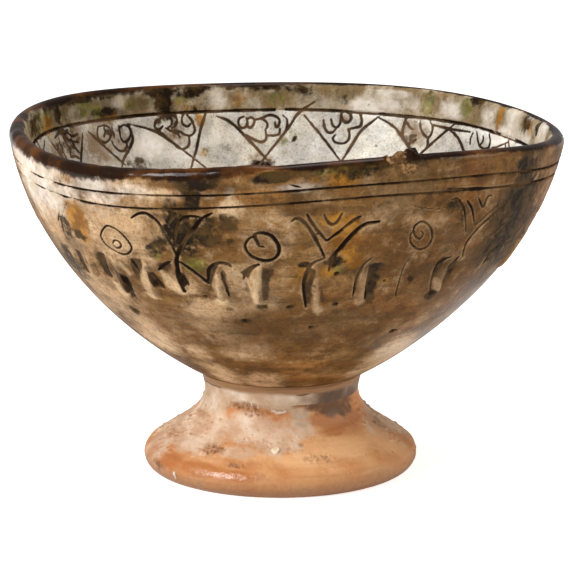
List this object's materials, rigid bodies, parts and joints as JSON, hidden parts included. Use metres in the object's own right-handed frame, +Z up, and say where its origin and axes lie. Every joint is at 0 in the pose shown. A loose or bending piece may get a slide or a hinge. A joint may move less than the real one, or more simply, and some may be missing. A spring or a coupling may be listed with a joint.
{
  "type": "sgraffito bowl",
  "caption": "Footed earthenware bowl with brown and white slip under glossy glaze, scratched ring lines, leaf and spiral motifs and gouged tongues, on a flared hollow clay foot.",
  "frame": {"origin": "on the table plane under the middle of the rim", "axes": "+Z up through the bowl's mouth, -Y towards the side that the picture shows, +X to that view's right"},
  "size_m": [0.1601, 0.1606, 0.105],
  "materials": {
    "bowl_clay": "bare, coarse orange-brown earthenware",
    "foot_clay": "bare, worn buff to orange earthenware",
    "luting_slurry": "dry clay slurry",
    "wall_glaze": "brown glossy lead-type glaze over slip",
    "rim_glaze": "black-brown glossy glaze",
    "inner_glaze": "clear glossy glaze over white slip with green and brown runs"
  },
  "bodies": {
    "root": {"bowl": "bowl_clay", "pedestal_foot": "foot_clay", "luting_ring": "luting_slurry", "wall_slip": "wall_glaze", "line_slip_band": "wall_glaze", "rim_slip": "rim_glaze", "inner_slip": "inner_glaze"}
  },
  "joints": []
}
